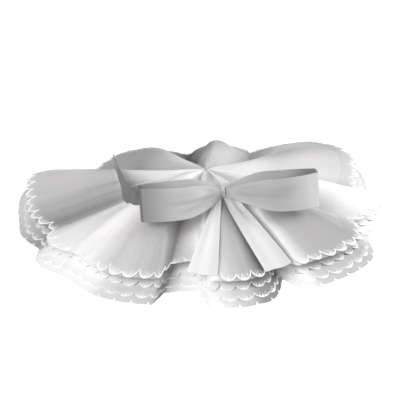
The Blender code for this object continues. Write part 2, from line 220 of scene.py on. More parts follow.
gathers = {
    "height": 0.00030,
    "count": 96,
    "sway": 2,
    "swayCount": 7,
    "full": 0.05,              # the share where they stand full height
    "fadeFrom": 0.10,
    "fadeOver": 0.25,
}
# Ripples: height, how many round the skirt, sway, how often it sways, where that starts
ripples = [(0.00022, 41, 3, 5, 0), (0.00012, 67, 2.5, 9, 1)]
rippleSizes = {"from": 0.25, "over": 0.75, "power": 1.5}
creaseSizes = {"spread": 1.6, "rise": 0.22, "fade": 0.12}


def relief(turn, share):
    # gathers drawn in at the waist, slow ripples down to the hem, and the listed creases
    lap = 2 * np.pi * turn / lineCount
    gathered = np.sin(lap * gathers["count"] + gathers["sway"] * np.sin(lap * gathers["swayCount"]))
    gathered = gathers["height"] * gathered * smooth(share / gathers["full"])
    gathered = gathered * (1 - smooth((share - gathers["fadeFrom"]) / gathers["fadeOver"]))
    rippled = 0
    for tall, count, sway, swayCount, swayStart in ripples:
        rippled = rippled + np.sin(lap * count + sway * np.sin(lap * swayCount + swayStart)) * tall
    window = smooth((share - rippleSizes["from"]) / rippleSizes["over"]) ** rippleSizes["power"]
    height = gathered + rippled * window
    fade = creaseSizes["fade"]
    for top, foot, begins, ends, width, depth in creases:
        middle = between(top, foot, np.clip((share - begins) / (ends - begins), 0, 1))
        away = (turn - middle + lineCount / 2) % lineCount - lineCount / 2
        faded = smooth((share - ends + fade / 2) / fade)
        window = smooth((share - begins) / creaseSizes["rise"]) * (1 - faded)
        height = height - depth * window * np.exp(-((away / (width * creaseSizes["spread"])) ** 2))
    return height


def onCloth(pointAt, turn, share, distance):
    # the cloth's own point moved out along its normal, so layers follow one another
    turn, share = np.broadcast_arrays(np.asarray(turn, float), np.asarray(share, float))
    point = pointAt(turn, share)
    across = pointAt(turn + skirt["probeTurn"], share) - pointAt(turn - skirt["probeTurn"], share)
    down = pointAt(turn, share + skirt["probeShare"]) - point
    normal = np.cross(down, across)
    normal = normal / np.linalg.norm(normal, axis=-1, keepdims=True)
    return point + normal * (distance + relief(turn, share))[..., None]


hemSteps = 100                 # in each turn
hemTurns = np.linspace(0, lineCount, lineCount * hemSteps + 1)
hemRun = upperPoint(hemTurns, np.ones_like(hemTurns))
hemMetres = np.concatenate([[0], np.cumsum(np.linalg.norm(np.diff(hemRun, axis=0), axis=1))])


def metresRound(turn):
    lap = np.floor(turn / lineCount)
    return np.interp(turn - lap * lineCount, hemTurns, hemMetres) + lap * hemMetres[-1]


def paintedShadingAt(turn, share):
    # painted light and shade: the waist's stops near the waist, and further out each fold's painted light on
    # its flanks and painted shade in its creases
    folded = np.interp(turn % lineCount, *foldPaintedShading)
    gathered = np.interp(turn % lineCount, *waistPaintedShading)
    return between(gathered, folded, smooth((share - clothPaintedShading["outerFrom"]) / clothPaintedShading["outerOver"]))


def lowerPaintedShadingAt(turn, share):
    # painted lighter than the upper tier, and lightest where the upper hem hangs over it: painted light
    # against the shadow that the upper hem casts
    covered = 1 - smooth((share - clothPaintedShading["underHem"]) / clothPaintedShading["underHemFade"])
    paintedLightGain = clothPaintedShading["lowerPaintedLight"] + clothPaintedShading["underHemPaintedLight"] * covered
    return np.minimum(paintedShadingAt(turn, share) * paintedLightGain, clothPaintedShading["brightest"])


def finishPiece(piece, material, nodes=(), sharpAngle=40):
    bpy.ops.object.select_all(action="DESELECT")
    piece.select_set(True)
    bpy.context.view_layer.objects.active = piece
    bpy.ops.object.shade_smooth_by_angle(angle=math.radians(sharpAngle))
    piece.data.materials.clear()
    piece.data.materials.append(material)
    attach(piece, "root")
    if nodes:
        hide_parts(*nodes)
    return piece


weldDistance = 0.00001


def gridSheet(name, points, maps, paintedShadings, wall, closed=False):
    # a grid whose points are laid along the cloth, then given a wall
    rows, columns = points.shape[:2]
    bpy.ops.object.select_all(action="DESELECT")
    bpy.ops.mesh.primitive_grid_add(x_subdivisions=columns - 1, y_subdivisions=rows - 1, size=2)
    piece = bpy.context.active_object
    piece.name = piece.data.name = name
    mesh = piece.data
    flat = np.empty(len(mesh.vertices) * 3)
    mesh.vertices.foreach_get("co", flat)
    flat = flat.reshape(-1, 3)
    column = np.rint((flat[:, 0] + 1) / 2 * (columns - 1)).astype(int)
    row = np.rint((1 - flat[:, 1]) / 2 * (rows - 1)).astype(int)
    mesh.vertices.foreach_set("co", points[row, column].ravel())
    corner = np.empty(len(mesh.loops), int)
    mesh.loops.foreach_get("vertex_index", corner)
    mesh.uv_layers.active.data.foreach_set("uv", maps[row, column][corner].ravel())
    # each point's painted light and shade
    paintedShading = mesh.attributes.new("paintedShading", "FLOAT", "POINT")
    paintedShading.data.foreach_set("value", paintedShadings[row, column].ravel())
    mesh.update()
    if closed:
        bpy.ops.object.mode_set(mode="EDIT")
        bpy.ops.mesh.select_all(action="SELECT")
        bpy.ops.mesh.remove_doubles(threshold=weldDistance)
        bpy.ops.object.mode_set(mode="OBJECT")
    thickness = piece.modifiers.new("wall", "SOLIDIFY")
    thickness.thickness = wall
    thickness.offset = 0
    bpy.ops.object.modifier_apply(modifier="wall")
    return piece


# Materials

def newGroup(name, inputs, outputs):
    group = bpy.data.node_groups.new(name, "ShaderNodeTree")
    for label, kind, value in inputs:
        socket = group.interface.new_socket(label, in_out="INPUT", socket_type=kind)
        if value is not None:
            socket.default_value = value
    for label, kind in outputs:
        group.interface.new_socket(label, in_out="OUTPUT", socket_type=kind)
    source = group.nodes.new("NodeGroupInput")
    result = group.nodes.new("NodeGroupOutput")
    return group, source.outputs, result.inputs


def calc(tree, operation, first, second=None, clamp=False):
    node = tree.nodes.new("ShaderNodeMath")
    node.operation = operation
    node.use_clamp = clamp
    for socket, value in zip(node.inputs, (first, second)):
        if isinstance(value, bpy.types.NodeSocket):
            tree.links.new(value, socket)
        elif value is not None:
            socket.default_value = value
    return node.outputs[0]


def stretched(tree, vector, x, y):
    node = tree.nodes.new("ShaderNodeMapping")
    node.inputs["Scale"].default_value = (x, y, 1)
    tree.links.new(vector, node.inputs["Vector"])
    return node.outputs[0]


def ramp(tree, value, low, high, toLow=0.0, toHigh=1.0):
    node = tree.nodes.new("ShaderNodeMapRange")
    node.interpolation_type = "SMOOTHSTEP"
    tree.links.new(value, node.inputs["Value"])
    for label, number in (("From Min", low), ("From Max", high), ("To Min", toLow), ("To Max", toHigh)):
        node.inputs[label].default_value = number
    return node.outputs[0]


def noise(tree, vector, detail=2.0):
    node = tree.nodes.new("ShaderNodeTexNoise")
    node.noise_dimensions = "2D"
    node.inputs["Scale"].default_value = 1.0
    node.inputs["Detail"].default_value = detail
    tree.links.new(vector, node.inputs["Vector"])
    return node.outputs["Fac"]


weaveLook = {
    "threads": 1800.0,         # in a metre
    "streaks": 260.0,          # in a metre across the cloth
    "streakLength": 7.0,       # in a metre along it
    "streakDetail": 3.0,
    "threadShare": 0.25,       # how far the threads stand out beside the streaks
    "fullTurn": 6.2832,
}


def weaveGroup():
    # warp and weft threads, with the fine lengthways streaks of satin
    group, given, result = newGroup("weave", [
        ("Map", "NodeSocketVector", None), ("Threads", "NodeSocketFloat", weaveLook["threads"]),
        ("Streaks", "NodeSocketFloat", weaveLook["streaks"]),
    ], [("Height", "NodeSocketFloat"), ("Streak", "NodeSocketFloat")])
    split = group.nodes.new("ShaderNodeSeparateXYZ")
    group.links.new(given["Map"], split.inputs[0])
    waves = []
    for along in split.outputs[:2]:
        counted = calc(group, "MULTIPLY", along, given["Threads"])
        waves.append(calc(group, "SINE", calc(group, "MULTIPLY", counted, weaveLook["fullTurn"])))
    threads = calc(group, "MULTIPLY", *waves)
    joined = group.nodes.new("ShaderNodeCombineXYZ")
    group.links.new(calc(group, "MULTIPLY", split.outputs[0], given["Streaks"]), joined.inputs[0])
    group.links.new(calc(group, "MULTIPLY", split.outputs[1], weaveLook["streakLength"]), joined.inputs[1])
    streak = noise(group, joined.outputs[0], weaveLook["streakDetail"])
    raised = calc(group, "MULTIPLY", threads, weaveLook["threadShare"])
    group.links.new(calc(group, "ADD", raised, streak), result["Height"])
    group.links.new(streak, result["Streak"])
    return group


fleckLook = {
    "apart": (0.0085, 0.0165),     # one dash at most in each cell this wide and long
    "dash": (0.26, 0.15),          # where a dash fades in, as a share of its cell
    "picked": (0.28, 0.80),        # the share of cells left bare, and the one in full colour
    "beltTop": (0.105, 0.165),     # metres down the cloth
    "beltFoot": (0.285, 0.268),
}


def flecksGroup():
    # small woven dashes along the pleats, on the outer part of the cloth
    group, given, result = newGroup(
        "flecks", [("Map", "NodeSocketVector", None)], [("Mask", "NodeSocketFloat")])
    across, along = fleckLook["apart"]
    cells = group.nodes.new("ShaderNodeTexVoronoi")
    cells.voronoi_dimensions = "2D"
    cells.inputs["Scale"].default_value = 1.0
    group.links.new(stretched(group, given["Map"], 1 / across, 1 / along), cells.inputs["Vector"])
    chosen = group.nodes.new("ShaderNodeSeparateColor")
    group.links.new(cells.outputs["Color"], chosen.inputs[0])
    dash = ramp(group, cells.outputs["Distance"], *fleckLook["dash"])
    picked = ramp(group, chosen.outputs[0], *fleckLook["picked"])
    split = group.nodes.new("ShaderNodeSeparateXYZ")
    group.links.new(given["Map"], split.inputs[0])
    top = ramp(group, split.outputs[1], *fleckLook["beltTop"])
    foot = ramp(group, split.outputs[1], *fleckLook["beltFoot"])
    shown = calc(group, "MULTIPLY", calc(group, "MULTIPLY", dash, picked), calc(group, "MULTIPLY", top, foot))
    group.links.new(shown, result["Mask"])
    return group


flameLook = {
    "footSteepness": 2.6,
    "jags": 15.708,            # five half turns, so five jags across a scallop
    "jagHeight": 0.36,         # heights as shares of the tallest
    "footHeight": 0.08,
    "solidEdge": 0.0012,
    "featherGrain": (26.0, 60.0),
    "featherReach": 0.4,
    "featherEdge": 0.007,
    "featherGaps": (0.42, 0.62),
    "featherTone": 0.6,
    "halfScallop": 0.0135,
    "markSlope": 0.6,
    "markEdge": (0.0034, 0.0018),
}


def flamesGroup():
    # the feathery stitching that rises from the foot of each scallop, and marks between scallops
    group, given, result = newGroup("flames", [
        ("Map", "NodeSocketVector", None), ("Tall", "NodeSocketFloat", 0.012),
        ("Cusps", "NodeSocketFloat", 0.0),
    ], [("Mask", "NodeSocketFloat")])
    look = flameLook

    def mix(operation, first, second=None, clamp=False):
        return calc(group, operation, first, second, clamp)

    split = group.nodes.new("ShaderNodeSeparateXYZ")
    group.links.new(given["Map"], split.inputs[0])
    above = split.outputs[1]
    phase = mix("FRACT", split.outputs[0])
    side = mix("SUBTRACT", mix("MULTIPLY", phase, 2.0), 1.0)
    square = mix("MULTIPLY", side, side)
    bell = mix("SUBTRACT", 1.0, square, clamp=True)
    foot = mix("SUBTRACT", 1.0, mix("MULTIPLY", square, look["footSteepness"]), clamp=True)
    jag = mix("ABSOLUTE", mix("SINE", mix("MULTIPLY", phase, look["jags"])))
    spikes = mix("MULTIPLY", foot, mix("ADD", mix("MULTIPLY", jag, look["jagHeight"]), look["footHeight"]))
    under = mix("SUBTRACT", mix("MULTIPLY", spikes, given["Tall"]), above)
    solid = mix("DIVIDE", under, look["solidEdge"], clamp=True)
    ragged = noise(group, stretched(group, given["Map"], *look["featherGrain"]))
    reach = mix("MULTIPLY", mix("MULTIPLY", bell, given["Tall"]), mix("ADD", ragged, look["featherReach"]))
    faded = mix("DIVIDE", mix("SUBTRACT", reach, above), look["featherEdge"], clamp=True)
    gaps = ramp(group, ragged, *look["featherGaps"])
    feathers = mix("MULTIPLY", mix("MULTIPLY", faded, gaps), look["featherTone"])
    nearCusp = mix("MULTIPLY", mix("SUBTRACT", 1.0, mix("ABSOLUTE", side)), look["halfScallop"])
    fromCusp = mix("ADD", nearCusp, mix("MULTIPLY", above, look["markSlope"]))
    marks = mix("MULTIPLY", ramp(group, fromCusp, *look["markEdge"]), given["Cusps"])
    group.links.new(mix("MAXIMUM", mix("MAXIMUM", solid, feathers), marks), result["Mask"])
    return group


weave = weaveGroup()
flecks = flecksGroup()
flames = flamesGroup()


sheenRoughness = 0.4


def newMaterial(name, roughness, sheen, specular):
    material = bpy.data.materials.new(name)
    material.use_nodes = True
    tree = material.node_tree
    shader = tree.nodes["Principled BSDF"]
    shader.inputs["Roughness"].default_value = roughness
    shader.inputs["Sheen Weight"].default_value = sheen
    shader.inputs["Sheen Roughness"].default_value = sheenRoughness
    shader.inputs["Specular IOR Level"].default_value = specular
    return material, tree, shader


def sheetMap(tree):
    node = tree.nodes.new("ShaderNodeUVMap")
    node.uv_map = "UVMap"
    return node.outputs[0]


def useGroup(tree, group, vector, **values):
    node = tree.nodes.new("ShaderNodeGroup")
    node.node_tree = group
    tree.links.new(vector, node.inputs["Map"])
    for label, value in values.items():
        node.inputs[label].default_value = value
    return node.outputs


def tinted(tree, factor, low, high):
    node = tree.nodes.new("ShaderNodeMix")
    node.data_type = "RGBA"
    for label, value in (("A", low), ("B", high)):
        socket = next(s for s in node.inputs if s.name == label and s.type == "RGBA")
        if isinstance(value, bpy.types.NodeSocket):
            tree.links.new(value, socket)
        else:
            socket.default_value = (*value, 1)
    tree.links.new(factor, node.inputs["Factor"])
    return next(s for s in node.outputs if s.type == "RGBA")


def withPaintedShading(tree, colour):
    # the painted light and shade of each piece, from its attribute, multiplied into the colour
    attribute = tree.nodes.new("ShaderNodeAttribute")
    attribute.attribute_name = "paintedShading"
    node = tree.nodes.new("ShaderNodeMix")
    node.data_type = "RGBA"
    node.blend_type = "MULTIPLY"
    node.inputs["Factor"].default_value = 1
    sockets = [s for s in node.inputs if s.type == "RGBA"]
    tree.links.new(colour, sockets[0])
    tree.links.new(attribute.outputs["Fac"], sockets[1])
    return next(s for s in node.outputs if s.type == "RGBA")


def bumped(tree, shader, height, distance, strength):
    bump = tree.nodes.new("ShaderNodeBump")
    bump.inputs["Distance"].default_value = distance
    bump.inputs["Strength"].default_value = strength
    tree.links.new(height, bump.inputs["Height"])
    tree.links.new(bump.outputs[0], shader.inputs["Normal"])


# Each look's finish is its roughness, sheen and specular level. Its relief is the
# bump's distance and strength.
clothLook = {
    "finish": (0.58, 0.25, 0.35),
    "threads": 1800.0,
    "streaks": 260.0,
    "dark": (0.855, 0.855, 0.86),
    "light": (0.880, 0.880, 0.880),
    "roughness": (0.64, 0.52),
    "relief": (0.0003, 0.07),
    "dashes": (1.0, 0.74, 0.71),
}
ribbonLook = {
    "finish": (0.42, 0.1, 0.45),
    "threads": 1600.0,
    "streaks": 420.0,
    "dark": (0.695, 0.695, 0.70),
    "light": (0.718, 0.718, 0.718),
    "roughness": (0.46, 0.38),
    "relief": (0.0003, 0.05),
    "dashes": None,
}
streakEdges = (0.3, 0.7)
laceLook = {
    "finish": (0.58, 0.25, 0.35),
    "net": (30.0, 1500.0),
    "netEdges": (0.35, 0.65),
    "netShare": 0.4,
    "dark": (0.845, 0.845, 0.85),
    "light": (0.885, 0.885, 0.885),
    "stitches": (0.97, 0.97, 0.97),
    "relief": (0.0006, 0.5),
}
threadLook = {
    "finish": (0.6, 0.2, 0.3),
    "grain": 900.0,
    "dark": (0.90, 0.90, 0.90),
    "light": (1.0, 1.0, 1.0),
    "relief": (0.0004, 0.5),
}


def wovenMaterial(name, look):
    material, tree, shader = newMaterial(name, *look["finish"])
    place = sheetMap(tree)
    threads = useGroup(tree, weave, place, Threads=look["threads"], Streaks=look["streaks"])
    colour = tinted(tree, ramp(tree, threads["Streak"], *streakEdges), look["dark"], look["light"])
    if look["dashes"]:
        colour = tinted(tree, useGroup(tree, flecks, place)["Mask"], colour, look["dashes"])
    tree.links.new(withPaintedShading(tree, colour), shader.inputs["Base Color"])
    roughness = ramp(tree, threads["Streak"], *streakEdges, *look["roughness"])
    tree.links.new(roughness, shader.inputs["Roughness"])
    bumped(tree, shader, threads["Height"], *look["relief"])
    return material


def laceMaterial(name, tall, cusps=0.0):
    look = laceLook
    material, tree, shader = newMaterial(name, *look["finish"])
    place = sheetMap(tree)
    stitches = useGroup(tree, flames, place, Tall=tall, Cusps=cusps)
    net = noise(tree, stretched(tree, place, *look["net"]))
    base = tinted(tree, ramp(tree, net, *look["netEdges"]), look["dark"], look["light"])
    colour = tinted(tree, stitches["Mask"], withPaintedShading(tree, base), look["stitches"])
    tree.links.new(colour, shader.inputs["Base Color"])
    height = calc(tree, "ADD", stitches["Mask"], calc(tree, "MULTIPLY", net, look["netShare"]))
    bumped(tree, shader, height, *look["relief"])
    return material


def threadMaterial(name):
    look = threadLook
    material, tree, shader = newMaterial(name, *look["finish"])
    coordinates = tree.nodes.new("ShaderNodeTexCoord")
    grain = tree.nodes.new("ShaderNodeTexNoise")
    grain.inputs["Scale"].default_value = look["grain"]
    tree.links.new(coordinates.outputs["Object"], grain.inputs["Vector"])
    colour = tinted(tree, grain.outputs["Fac"], look["dark"], look["light"])
    tree.links.new(colour, shader.inputs["Base Color"])
    bumped(tree, shader, grain.outputs["Fac"], *look["relief"])
    return material


whiteCloth = wovenMaterial("whiteCloth", clothLook)
upperLaceCloth = laceMaterial("upperLaceCloth", tall=0.017)
lowerLaceCloth = laceMaterial("lowerLaceCloth", tall=0.010)
hemLaceCloth = laceMaterial("hemLaceCloth", tall=0.0, cusps=1.0)
edgingThread = threadMaterial("edgingThread")
satinRibbon = wovenMaterial("satinRibbon", ribbonLook)
print("materials ready")


# Cloth panels: each tier is a front and a back that meet at two side seams

panels = {
    "columnsPerTurn": 20,
    "upperRows": 84,
    "lowerRows": 40,
    "crowding": 1.15,          # rows lie closer together by the waist
    "upperHem": 0.990,
    "lowerHem": 0.975,
    "turnedIn": 0.0045,        # the waist edge is turned down this far
    "mouth": 0.0034,           # and its radius there
    "lipSteps": (1.0, 0.75, 0.5, 0.25),
}


def turnedEdge(rim):
    # the waist edge rounded over and down, lowest row first
    direction = rim * [1, 1, 0]
    direction = direction / np.linalg.norm(direction, axis=-1, keepdims=True)
    lips = []
    for part in panels["lipSteps"]:
        radius = between(skirt["waistRadius"], panels["mouth"], math.sin(part * math.pi / 2))
        fall = panels["turnedIn"] * (1 - math.cos(part * math.pi / 2))
        lips.append(direction * radius - np.array([0, 0, fall]))
    return np.array(lips)


def clothPanel(name, ends, tier, node):
    columns = int(round((ends[1] - ends[0]) * panels["columnsPerTurn"])) + 1
    turnGrid, shareGrid = np.meshgrid(np.linspace(*ends, columns), tier["shares"])
    points = onCloth(tier["pointAt"], turnGrid, shareGrid, tier["distance"])
    step = points[:, 1:] - points[:, :-1]
    inset = step / np.linalg.norm(step, axis=-1, keepdims=True) * skirt["seamGap"] / 2
    points[:, 0] += inset[:, 0]
    points[:, -1] -= inset[:, -1]
    if tier["turnedIn"]:
        count = len(panels["lipSteps"])
        points = np.concatenate([turnedEdge(points[0]), points])
        turnGrid = np.concatenate([np.repeat(turnGrid[:1], count, 0), turnGrid])
        shareGrid = np.concatenate([np.zeros((count, columns)), shareGrid])
    maps = np.stack([metresRound(turnGrid), shareGrid * skirt["slant"]], -1)
    paintedShadings = tier["paintedShadingAt"](turnGrid, shareGrid)
    piece = gridSheet(name, points[::-1], maps[::-1], paintedShadings[::-1], skirt["clothWall"])
    finishPiece(piece, whiteCloth, [node])


upperTier = {
    "pointAt": upperPoint,
    "paintedShadingAt": paintedShadingAt,
    "distance": 0,
    "turnedIn": True,
    "shares": np.linspace(0, 1, panels["upperRows"]) ** panels["crowding"] * panels["upperHem"],
}
lowerTier = {
    "pointAt": lowerPoint,
    "paintedShadingAt": lowerPaintedShadingAt,
    "distance": -skirt["tierGap"],
    "turnedIn": False,
    "shares": np.linspace(skirt["lowerTop"], panels["lowerHem"], panels["lowerRows"]),
}
frontEnds = skirt["seamTurns"]
backEnds = (frontEnds[1], frontEnds[0] + lineCount)
clothPanel("upperFrontPanel", frontEnds, upperTier, "upper_front_panel")
clothPanel("upperBackPanel", backEnds, upperTier, "upper_back_panel")
clothPanel("lowerFrontPanel", frontEnds, lowerTier, "lower_front_panel")
clothPanel("lowerBackPanel", backEnds, lowerTier, "lower_back_panel")
print("panels ready")


# Lace hems: strips with scalloped edges, each edge bound with a raised cord

lace = {
    "scallops": 80,
    "columnsPerScallop": 12,
    "rows": 12,
    "wall": 0.0005,
    "arch": 0.7,
    "cuspDepths": (1.0, 0.55, 1.0, 0.8),
    "lift": 0.0006,            # the top edge lies this much closer to the cloth
    "liftOver": 0.35,
    "flip": 0.0006,            # and the scalloped edge turns out by this much
}
# Each strip: its tier, the shares at its top, cusps and tips, distance off the
# cloth, material, radius of its edging cord, node
strips = {
    "upperHemLace": (upperTier, 0.880, 0.935, 0.992, 0.0010, upperLaceCloth, 0.0013, "upper_hem_lace"),
    "lowerHemLace": (lowerTier, 0.930, 0.996, 0.998, -0.0008, hemLaceCloth, 0.0006, "lower_hem_lace"),
    "lowerMiddleLace": (lowerTier, 0.915, 0.944, 0.970, -0.0001, lowerLaceCloth, 0.0009, "lower_hem_lace"),
    "lowerInnerLace": (lowerTier, 0.860, 0.887, 0.922, 0.0006, lowerLaceCloth, 0.0009, "lower_hem_lace"),
}


def edgingCord(name, rim, radius):
    cord = bpy.data.curves.new(name, "CURVE")
    cord.dimensions = "3D"
    cord.bevel_depth = radius
    cord.bevel_resolution = 1
    line = cord.splines.new("POLY")
    line.points.add(len(rim) - 1)
    line.points.foreach_set("co", np.column_stack([rim, np.ones(len(rim))]).ravel())
    line.use_cyclic_u = True
    edging = bpy.data.objects.new(name, cord)
    bpy.context.collection.objects.link(edging)
    bpy.ops.object.select_all(action="DESELECT")
    edging.select_set(True)
    bpy.context.view_layer.objects.active = edging
    bpy.ops.object.convert(target="MESH")
    return finishPiece(edging, edgingThread)


def laceStrip(name, tier, top, cusp, tip, distance, material, cordRadius, node):
    scallop = np.arange(lace["scallops"] * lace["columnsPerScallop"] + 1) / lace["columnsPerScallop"]
    turns = np.interp(scallop / lace["scallops"] * hemMetres[-1], hemMetres, hemTurns)
    arch = np.abs(np.sin(np.pi * scallop)) ** lace["arch"]
    nearest = np.rint(scallop).astype(int) % len(lace["cuspDepths"])
    edge = tip - (tip - cusp) * np.array(lace["cuspDepths"])[nearest] * (1 - arch)
    down = np.linspace(0, 1, lace["rows"])[:, None]
    shareGrid = top + (edge - top) * down
    turnGrid = np.broadcast_to(turns, shareGrid.shape)
    lifted = between(distance - lace["lift"], distance, np.clip(down / lace["liftOver"], 0, 1))
    points = onCloth(tier["pointAt"], turnGrid, shareGrid, lifted + lace["flip"] * down**2)
    points[:, -1] = points[:, 0]
    maps = np.stack([np.broadcast_to(scallop, shareGrid.shape), (edge - shareGrid) * skirt["slant"]], -1)
    paintedShadings = tier["paintedShadingAt"](turnGrid, shareGrid)
    strip = gridSheet(name, points[::-1], maps[::-1], paintedShadings[::-1], lace["wall"], closed=True)
    finishPiece(strip, material, [node])
    return edgingCord(name + "Cord", points[-1, :-1], cordRadius)


for name, values in strips.items():
    laceStrip(name, *values)
print("lace ready", lace["scallops"], "scallops")


# Bow: two loops, a knot and two tails of wide satin ribbon

bow = {
    "ribbonWall": 0.0008,
    "ribbonWidth": 0.06,
    "lean": 0.014,             # how far the foot of a full width leans out
    "sharpAngle": 35,
    "knot": (0.0, -0.1065, 0.008),
    "knotHalf": (0.0040, 0.0085, 0.0075),
    "knotBevel": 0.0028,
    "knotGroove": 0.0005,
    "knotPaintedShade": 0.95,
    "loopColumns": 130,
    "loopRows": 22,
    "corner": 0.0035,          # the fold at a loop's end is rounded this near to it
    "cornerCuts": 4,
    "creaseRise": 0.02,
    "creaseLead": 0.03,
    "creaseFade": 0.045,
    "rearShare": 0.4,          # the rear shows this much of the front's creases
    "puff": 0.0012,
    "puffRise": (0.02, 0.05),  # from here, over this length
    "puffFade": (0.13, 0.02),
}
# The ribbon's painted light and shade: by the knot, its change outwards, and how much painted shade darkens
# its folded end and its hidden inside
loopPaintedShading = {
    "left": {"near": 0.70, "change": 0.26, "endShade": 0.0, "insideShade": 0.60},
    "right": {"near": 0.80, "change": -0.44, "endShade": 0.55, "insideShade": 0.0},
}
loopShading = {
    "change": (0.085, 0.075),  # from here, over this length
    "end": (0.1545, 0.0015),
    "inside": (0.095, 0.055),
    "creasePaintedShade": 90,
    "deepestDent": 0.003,
}
# Stations of each loop from the knot outwards: x, front y, rear y, foot, top
loopStations = {
    "left": [(0.0048, -0.114, -0.106, 0.001, 0.015), (0.030, -0.140, -0.118, -0.001, 0.035),
             (0.060, -0.164, -0.130, -0.004, 0.049), (0.085, -0.171, -0.136, -0.007, 0.0505),
             (0.125, -0.171, -0.143, -0.008, 0.0515), (0.157, -0.166, -0.150, -0.0085, 0.0515)],
    "right": [(0.0048, -0.114, -0.106, 0.001, 0.015), (0.030, -0.135, -0.117, -0.001, 0.035),
              (0.060, -0.152, -0.125, -0.003, 0.049), (0.085, -0.158, -0.128, -0.004, 0.0515),
              (0.125, -0.151, -0.127, -0.006, 0.0515), (0.157, -0.139, -0.126, -0.008, 0.0505)],
}
# Creases in each loop's front: x where it starts and ends, height share there, half width, depth
loopCreases = {
    "left": [(0.010, 0.105, 0.42, 0.46, 0.0050, 0.0022), (0.030, 0.120, 0.62, 0.66, 0.0070, 0.0016),
             (0.012, 0.060, 0.70, 0.85, 0.0050, 0.0014), (0.020, 0.090, 0.22, 0.26, 0.0050, 0.0012)],
    "right": [(0.010, 0.115, 0.45, 0.50, 0.0050, 0.0022), (0.025, 0.100, 0.30, 0.22, 0.0060, 0.0017),
              (0.012, 0.060, 0.72, 0.84, 0.0050, 0.0014), (0.050, 0.120, 0.68, 0.74, 0.0070, 0.0012)],
}


def cutCorners(points, times):
    # rounds a run of points by cutting each corner at a quarter and three quarters
    for _ in range(times):
        a, b = points[:-1], points[1:]
        middle = np.stack([a * 0.75 + b * 0.25, a * 0.25 + b * 0.75], 1).reshape(-1, points.shape[1])
        points = np.concatenate([points[:1], middle, points[-1:]])
    return points


def evenly(points, count):
    # the same run at even steps, as measured in plan
    run = np.concatenate([[0], np.cumsum(np.linalg.norm(np.diff(points[:, :2], axis=0), axis=1))])
    wanted = np.linspace(0, run[-1], count)
    return np.column_stack([np.interp(wanted, run, points[:, k]) for k in range(points.shape[1])]), wanted


def rising(x, window):
    return smooth((x - window[0]) / window[1])


def bowLoop(name, which, side, node):
    stations = loopStations[which]
    rear = [(x, yRear, foot, top, 0.0) for x, yFront, yRear, foot, top in stations]
    front = [(x, yFront, foot, top, 1.0) for x, yFront, yRear, foot, top in stations][::-1]
    last, first = np.array(rear[-1]), np.array(front[0])
    inRear = between(last, np.array(rear[-2]), bow["corner"] / (last[0] - rear[-2][0]))
    inFront = between(first, np.array(front[1]), bow["corner"] / (first[0] - front[1][0]))
    path = np.array(rear[:-1] + [tuple(inRear), tuple(last), tuple(first), tuple(inFront)] + front[1:])
    path, run = evenly(cutCorners(path, bow["cornerCuts"]), bow["loopColumns"])
    x, y, foot, top, isFront = path.T
    v = np.linspace(0, 1, bow["loopRows"])[:, None]
    height = between(foot, top, v)
    leaned = y - bow["lean"] * (1 - v) * (top - foot) / bow["ribbonWidth"]
    dent = 0 * height
    for begins, ends, low, high, width, depth in loopCreases[which]:
        along = np.clip((x - begins) / (ends - begins), 0, 1)
        centre = between(foot, top, between(low, high, along))
        fade = smooth((x - ends + bow["creaseLead"]) / bow["creaseFade"])
        window = smooth((x - begins) / bow["creaseRise"]) * (1 - fade)
        dent = dent + depth * window * np.exp(-(((height - centre) / width) ** 2))
    puff = bow["puff"] * np.sin(np.pi * v) * rising(x, bow["puffRise"]) * (1 - rising(x, bow["puffFade"]))
    leaned = leaned + (dent - puff) * isFront - (dent * bow["rearShare"] - puff) * (1 - isFront)
    points = np.stack([np.broadcast_to(side * x, height.shape), leaned, height], -1)
    maps = np.stack([height, np.broadcast_to(run, height.shape)], -1)
    look = loopPaintedShading[which]
    # painted light and shade along the loop: lighter outwards on one loop, darker on the other, with painted
    # shade at the folded end, inside the rear and in the creases
    shade = look["near"] + look["change"] * rising(x, loopShading["change"])
    shade = shade * (1 - look["endShade"] * rising(x, loopShading["end"]))
    shade = shade * (1 - look["insideShade"] * rising(x, loopShading["inside"]) * (1 - isFront))
    dented = np.clip(dent, 0, loopShading["deepestDent"]) * isFront
    paintedShadings = shade * (1 - loopShading["creasePaintedShade"] * dented)
    if side < 0:
        points, maps, paintedShadings = points[:, ::-1], maps[:, ::-1], paintedShadings[:, ::-1]
    piece = gridSheet(name, points[::-1], maps[::-1], paintedShadings[::-1], bow["ribbonWall"])
    finishPiece(piece, satinRibbon, [node], bow["sharpAngle"])


tails = {
    "ridgeLine": 11,           # the fold line that the tails lie along
    "topWidth": 0.008,
    "endWidth": 0.052,
    "length": 0.19,
    "startX": 0.0056,
    "underKnot": 0.0010,
    "settleOver": 0.25,        # down from the knot to the cloth over this share
    "lift": 0.0021,
    "columns": 60,
    "rows": 18,
    "foldHeight": 0.0014,
    "foldWaves": 1.5,
    "foldStart": 0.6,
    "foldRise": 0.2,
    "deepestFold": -0.0007,
    "curl": 0.0022,
    "curlFrom": 0.4,
    "curlOver": 0.6,
}
# Each tail: where its end lies, how it widens, its node and its painted light and shade
tailEnds = {
    "bowTailRight": (-0.083, -0.269, 1.0, "bow_tail_right", 1.14),
    "bowTailLeft": (0.047, -0.282, 0.5, "bow_tail_left", 1.00),
}


def ridgeHeight(x, y):
    index = tails["ridgeLine"]
    return lineHeight(index, np.hypot(x, y) / reach[index])


